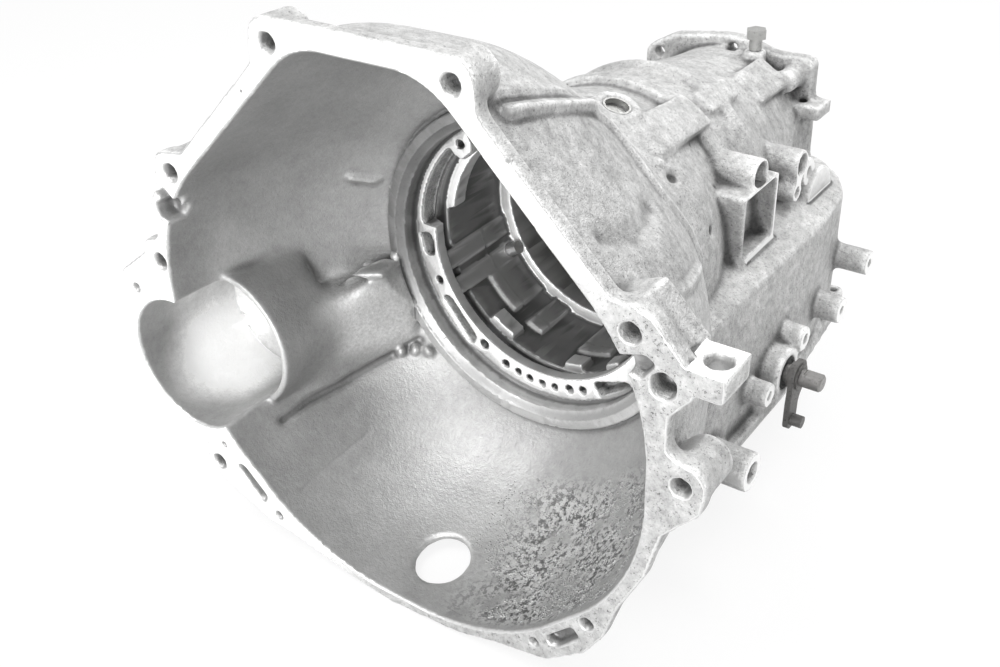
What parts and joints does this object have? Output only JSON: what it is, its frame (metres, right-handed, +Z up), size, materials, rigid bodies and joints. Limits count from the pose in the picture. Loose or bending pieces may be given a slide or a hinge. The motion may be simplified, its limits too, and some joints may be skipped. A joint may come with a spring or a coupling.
{
  "type": "gearbox housing",
  "caption": "Bare automatic gearbox housing: cast aluminium bell with starter pocket, barrel with clutch seats, pan rail, rear flange, selector shaft and levers.",
  "frame": {"origin": "on the crank axis in the plane of the bell mouth's machined face", "axes": "+Y along the crank axis from the bell mouth to the rear flange, +Z up, away from the pan rail, +X to the side of the selector shaft"},
  "size_m": [0.4535, 0.45, 0.3952],
  "materials": {
    "cast_aluminium": "rough cast",
    "turned_steel": "turned",
    "lever_steel": "dull pressed",
    "plug_steel": "plated",
    "bushing_bronze": "bored",
    "seal_rubber": "moulded"
  },
  "bodies": {
    "case": {"main_case": "cast_aluminium", "shaft_seal": "seal_rubber", "shaft_lock_pin": "turned_steel", "rear_bushing": "bushing_bronze", "barrel_cup_plug": "plug_steel", "vent": "plug_steel", "anchor_pin": "turned_steel", "pawl_pin": "turned_steel", "pawl_spring": "turned_steel"},
    "selector": {"selector_shaft": "turned_steel", "outer_selector_lever": "lever_steel", "detent_lever": "lever_steel", "detent_lever_nut": "turned_steel"},
    "pawl": {"parking_pawl": "lever_steel"}
  },
  "joints": [
    {"name": "selector_turn", "type": "hinge", "parent": "case", "child": "selector", "pos_m": [0, 0.251, -0.086], "axis": [1, 0, 0], "range_deg": [-25, 30]},
    {"name": "pawl_swing", "type": "hinge", "parent": "case", "child": "pawl", "pos_m": [-0.05351, 0.3445, -0.04818], "axis": [0, -1, 0], "range_deg": [0, 9], "stiffness_Nm_per_rad": 0.05}
  ]
}
